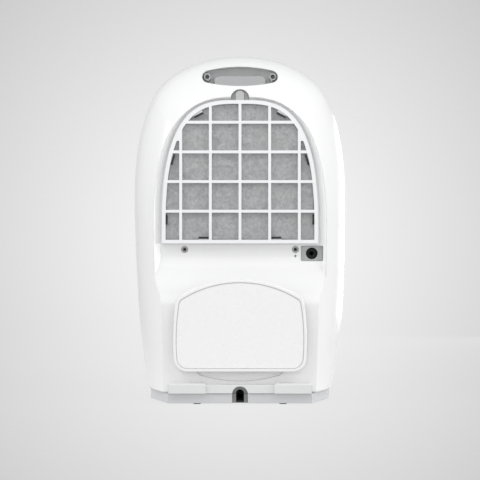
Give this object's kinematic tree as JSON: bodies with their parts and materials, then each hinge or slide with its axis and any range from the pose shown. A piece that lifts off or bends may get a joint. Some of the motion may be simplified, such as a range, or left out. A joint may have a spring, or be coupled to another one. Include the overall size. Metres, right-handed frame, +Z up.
{
  "type": "dehumidifier",
  "caption": "Compressor dehumidifier with a tilting rear filter, cord tidy plate, drain port, spinning fan, control keys and a slide-out water bucket.",
  "frame": {"origin": "floor point under the middle of the machine", "axes": "+Z up, front (controls, bucket) towards -Y, air intake filter towards +Y, +X to the left when seen from behind"},
  "size_m": [0.3287, 0.3, 0.53],
  "materials": {
    "casing": "glossy white shell",
    "cap": "satin white inlay",
    "base": "glossy white tray",
    "rubber": "black rubber",
    "grip_grey": "grey satin plastic",
    "grip_insert": "soft grey insert",
    "filter_plastic": "cool white frame",
    "felt": "grey felt",
    "black_plastic": "black plastic",
    "steel": "zinc plated steel",
    "sheet": "galvanised sheet",
    "inner_plastic": "dark inner plastic",
    "tray_plastic": "pale inner plastic",
    "hose": "grey hose",
    "grille": "light grey louvre",
    "panel": "dark glossy panel",
    "lens": "smoked window",
    "button": "satin keys",
    "knob": "satin knob",
    "board": "green circuit board",
    "led": "light pipe",
    "bucket": "translucent pale bucket",
    "window": "clear level window",
    "foam": "white float",
    "magnet": "ferrite",
    "fan": "black fan",
    "motor": "motor can",
    "fins": "aluminium fins",
    "copper": "copper tube",
    "black_paint": "black paint"
  },
  "bodies": {
    "root": {"rear_cover": "casing", "foot_ledge": "casing", "front_cover": "casing", "tidy_spool": "casing", "tidy_cap": "cap", "base_tray": "base", "rubber_feet": "rubber", "compressor_grommets": "rubber", "handle_liner": "grip_grey", "drain_socket": "grip_grey", "handle_grip": "grip_insert", "cable_gland": "black_plastic", "float_switch": "black_plastic", "terminal_cover": "black_plastic", "capacitor_clip": "black_plastic", "casing_screws": "steel", "filter_pins": "steel", "compressor_bolts": "steel", "motor_bracket": "steel", "bulkhead": "sheet", "deck": "sheet", "compressor_feet": "sheet", "fan_shroud": "inner_plastic", "outlet_duct": "inner_plastic", "intake_guard": "inner_plastic", "drip_tray": "tray_plastic", "drain_hose": "hose", "outlet_grille": "grille", "control_panel": "panel", "display_lens": "lens", "control_board": "board", "power_board": "board", "panel_leds": "led", "fan_motor": "motor", "evaporator_fins": "fins", "condenser_fins": "fins", "run_capacitor": "fins", "evaporator_tubes": "copper", "condenser_tubes": "copper", "suction_pipe": "copper", "discharge_pipe": "copper", "liquid_line": "copper", "capillary": "copper", "filter_drier": "copper", "compressor": "black_paint"},
    "filter": {"filter_frame": "filter_plastic", "filter_media": "felt", "filter_clips": "black_plastic"},
    "bucket_drawer": {"bucket": "bucket", "bucket_fascia": "casing", "bucket_window": "window", "float_pin": "steel"},
    "float_arm": {"float": "foam", "float_magnet": "magnet"},
    "fan": {"fan_wheel": "fan", "motor_shaft": "steel"},
    "power_key": {"button_power": "button"},
    "mode_key": {"button_mode": "button"},
    "fan_key": {"button_fan": "button"},
    "knob": {"humidity_knob": "knob"}
  },
  "joints": [
    {"name": "filter_tilt", "type": "hinge", "parent": "root", "child": "filter", "pos_m": [0, 0.117, 0.241], "axis": [-1, 0, 0], "range_deg": [0, 50]},
    {"name": "bucket_slide", "type": "slide", "parent": "root", "child": "bucket_drawer", "axis": [0, -1, 0], "range_m": [0, 0.2]},
    {"name": "float_swing", "type": "hinge", "parent": "bucket_drawer", "child": "float_arm", "pos_m": [-0.076, -0.022, 0.18], "axis": [-1, 0, 0], "range_deg": [0, 20]},
    {"name": "fan_spin", "type": "hinge", "parent": "root", "child": "fan", "pos_m": [0, 0.017, 0.33], "axis": [0, 1, 0], "continuous": true},
    {"name": "power_press", "type": "slide", "parent": "root", "child": "power_key", "axis": [0, 0.4286, -0.9035], "range_m": [0, 0.0015], "stiffness_N_per_m": 250},
    {"name": "mode_press", "type": "slide", "parent": "root", "child": "mode_key", "axis": [0, 0.4286, -0.9035], "range_m": [0, 0.0015], "stiffness_N_per_m": 250},
    {"name": "fan_press", "type": "slide", "parent": "root", "child": "fan_key", "axis": [0, 0.4286, -0.9035], "range_m": [0, 0.0015], "stiffness_N_per_m": 250},
    {"name": "knob_turn", "type": "hinge", "parent": "root", "child": "knob", "pos_m": [-0.043, -0.085, 0.50924], "axis": [0, -0.4286, 0.9035], "range_deg": [-135, 135]}
  ]
}
